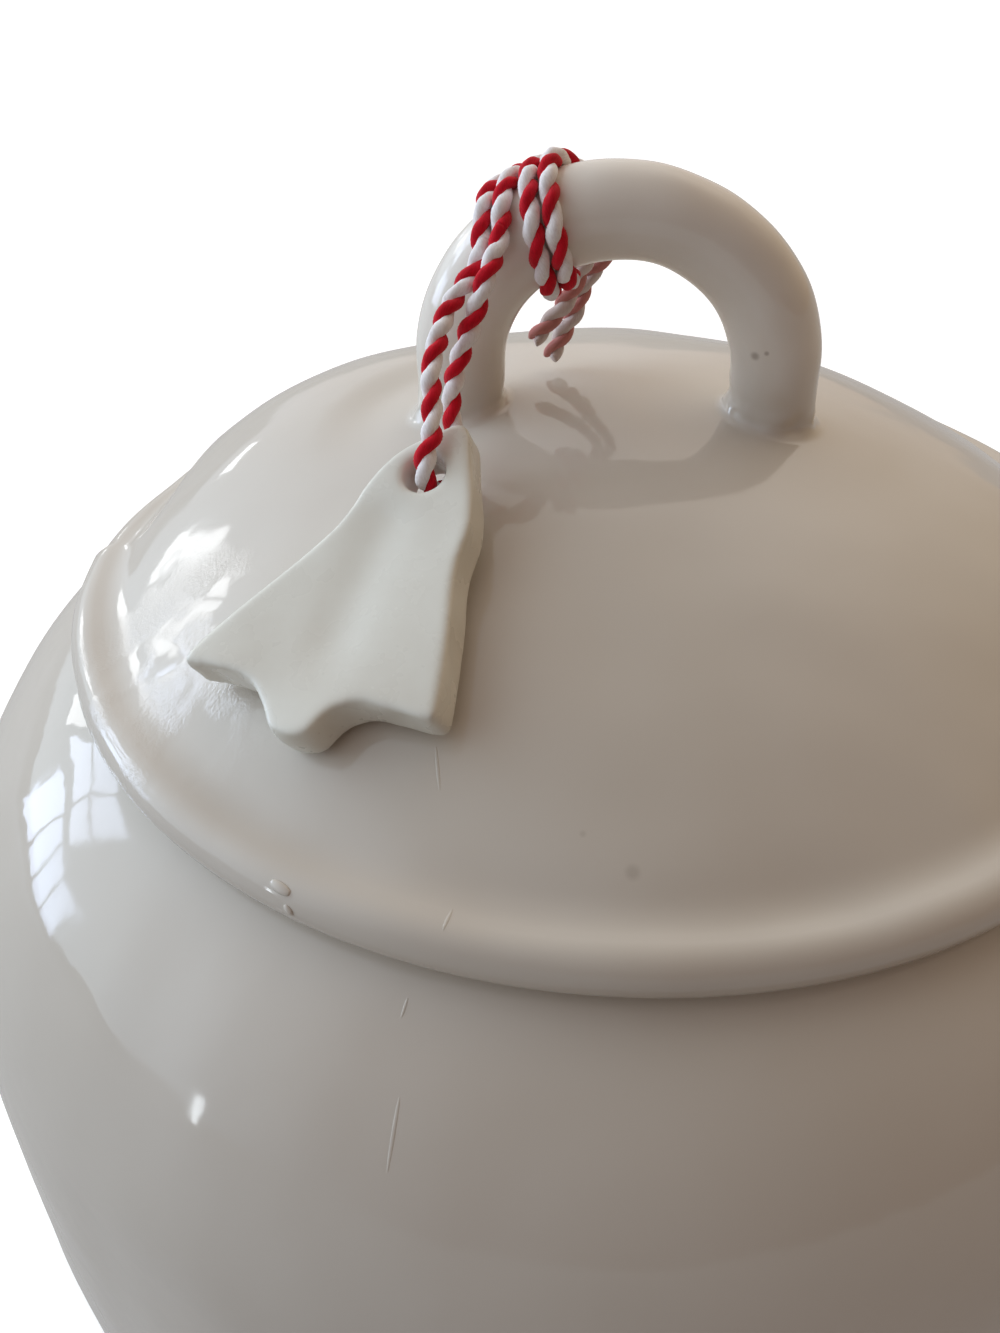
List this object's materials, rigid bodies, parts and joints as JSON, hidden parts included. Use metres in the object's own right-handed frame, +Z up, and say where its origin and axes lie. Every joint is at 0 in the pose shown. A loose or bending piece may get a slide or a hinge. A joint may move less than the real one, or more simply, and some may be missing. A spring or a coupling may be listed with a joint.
{
  "type": "cookie jar",
  "caption": "Round-bellied glazed ceramic cookie jar with a domed lift-off lid, an arched lid handle, and a tree-shaped clay tag tied to the handle with striped twine",
  "frame": {"origin": "centre of the foot ring, on the surface that the jar stands on", "axes": "+Z up, +X along the handle's arch, with the tag lying towards -X and -Y"},
  "size_m": [0.214, 0.214, 0.2468],
  "materials": {
    "jar_glaze": "glossy warm off-white glaze, a little uneven",
    "tag_clay": "satin white clay",
    "twine": "plied red and white cotton"
  },
  "bodies": {
    "jar": {"jar_body": "jar_glaze"},
    "lid": {"lid": "jar_glaze", "lid_ring": "jar_glaze", "lid_handle": "jar_glaze", "twine_hitch_left": "twine", "twine_hitch_right": "twine", "twine_tail_left": "twine", "twine_tail_right": "twine"},
    "twine": {"twine_loop": "twine"},
    "tag": {"tag": "tag_clay"}
  },
  "joints": [
    {"name": "lid_lift", "type": "slide", "parent": "jar", "child": "lid", "axis": [0, 0, 1], "range_m": [0, 0.12]},
    {"name": "twine_swing", "type": "hinge", "parent": "lid", "child": "twine", "pos_m": [-0.02012, -0.00742, 0.23884], "axis": [-0.7458, 0.4592, -0.4827], "range_deg": [0, 85]},
    {"name": "tag_turn", "type": "hinge", "parent": "twine", "child": "tag", "pos_m": [-0.02487, -0.0286, 0.21293], "axis": [-0.2917, -0.4245, 0.8572], "range_deg": [-35, 35]}
  ]
}
